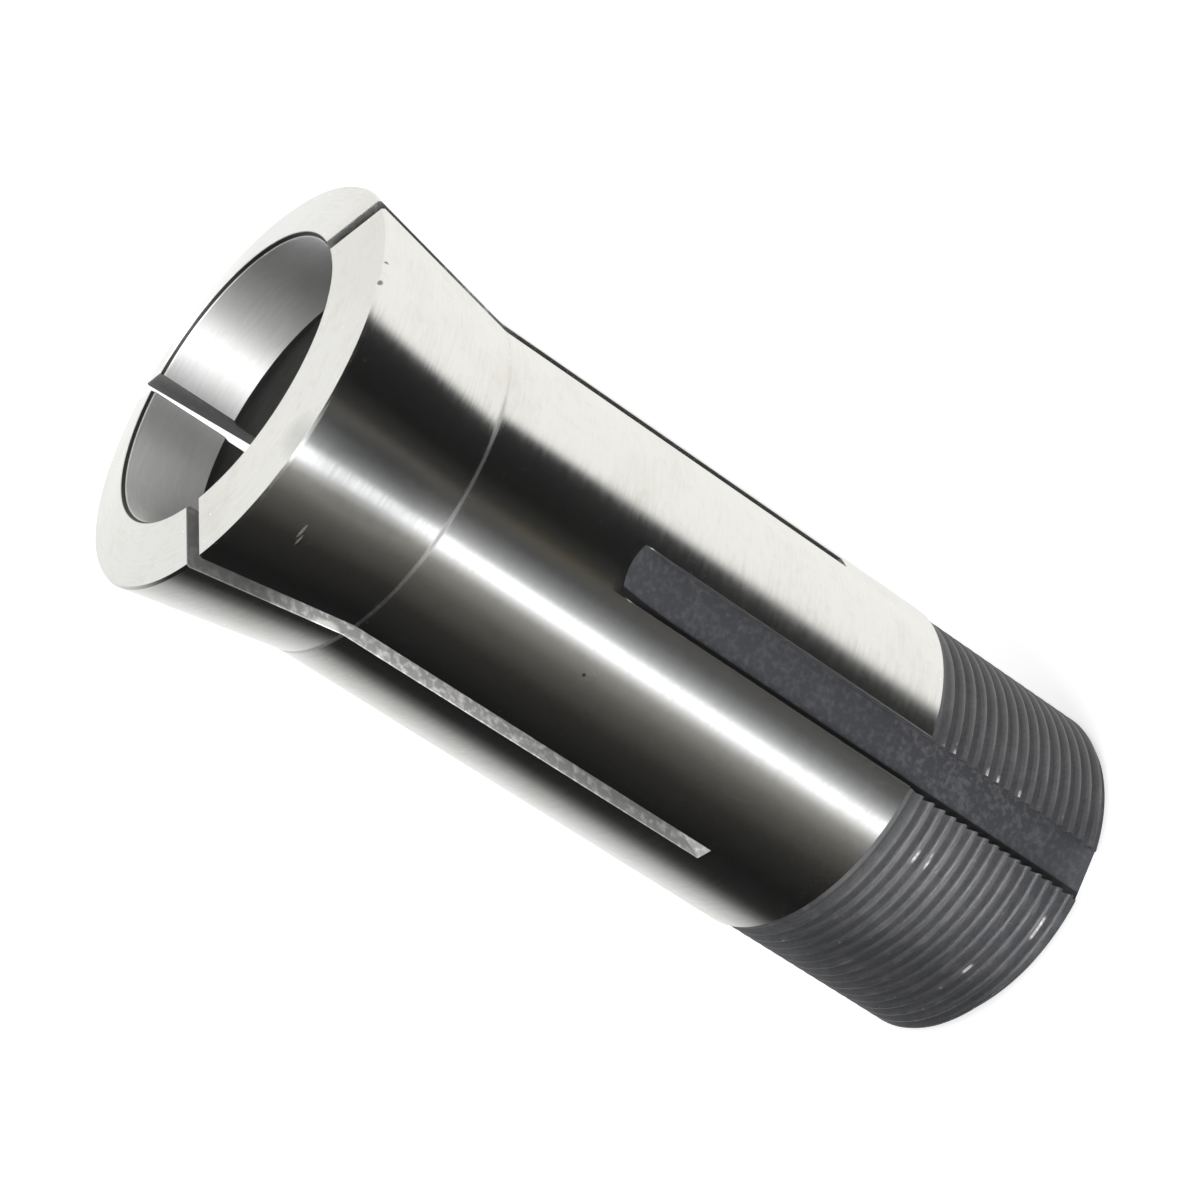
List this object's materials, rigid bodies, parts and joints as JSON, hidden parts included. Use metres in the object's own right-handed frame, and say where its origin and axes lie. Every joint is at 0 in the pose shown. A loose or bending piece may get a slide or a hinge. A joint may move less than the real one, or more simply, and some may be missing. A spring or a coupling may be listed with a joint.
{
  "type": "lathe collet",
  "caption": "Spring collet with a coned head, saw-slit jaws, a ground shank with a keyway and a threaded tail, bored through.",
  "frame": {"origin": "centre of the tail end face, on which the collet stands", "axes": "+Z along the bore's axis, from the threaded tail up to the head; the keyway faces -Y"},
  "size_m": [0.0368, 0.0368, 0.0839],
  "materials": {
    "ground_steel": "hardened spring steel, ground on the shank, cone, face and gripping bore, darker and unground in the saw slots, keyway and thread"
  },
  "bodies": {
    "root": {"collet": "ground_steel"}
  },
  "joints": []
}
